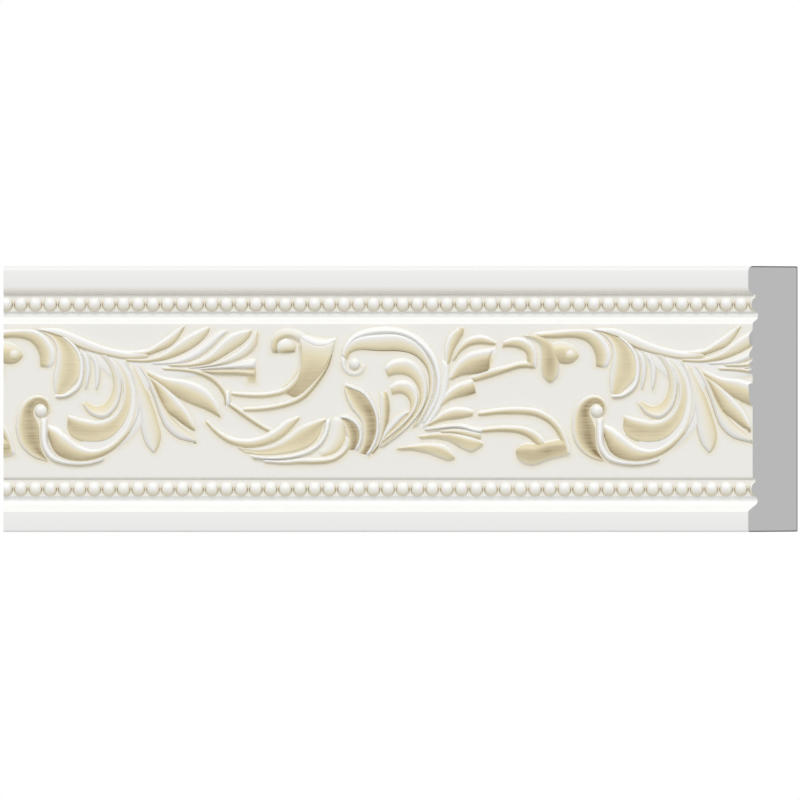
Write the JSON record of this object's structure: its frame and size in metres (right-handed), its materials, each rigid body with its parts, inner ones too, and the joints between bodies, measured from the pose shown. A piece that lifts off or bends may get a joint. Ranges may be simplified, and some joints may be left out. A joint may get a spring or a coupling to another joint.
{
  "type": "panel moulding",
  "caption": "Straight length of ornamental panel moulding: flat bands, pearl rows and a scrolling leaf relief, with a flat back, one square end and one mitred end.",
  "frame": {"origin": "middle of the flat back, which is the lowest face", "axes": "+X along the stick towards the mitred end, +Y across the face towards the wider flat band, +Z from the back to the ornamental face"},
  "size_m": [0.284, 0.095, 0.0184],
  "materials": {
    "coated_polymer": "satin white coat with a pale gold patina in the relief, and raw grey core on the cut faces and the back"
  },
  "bodies": {
    "root": {"panel_moulding": "coated_polymer"}
  },
  "joints": []
}
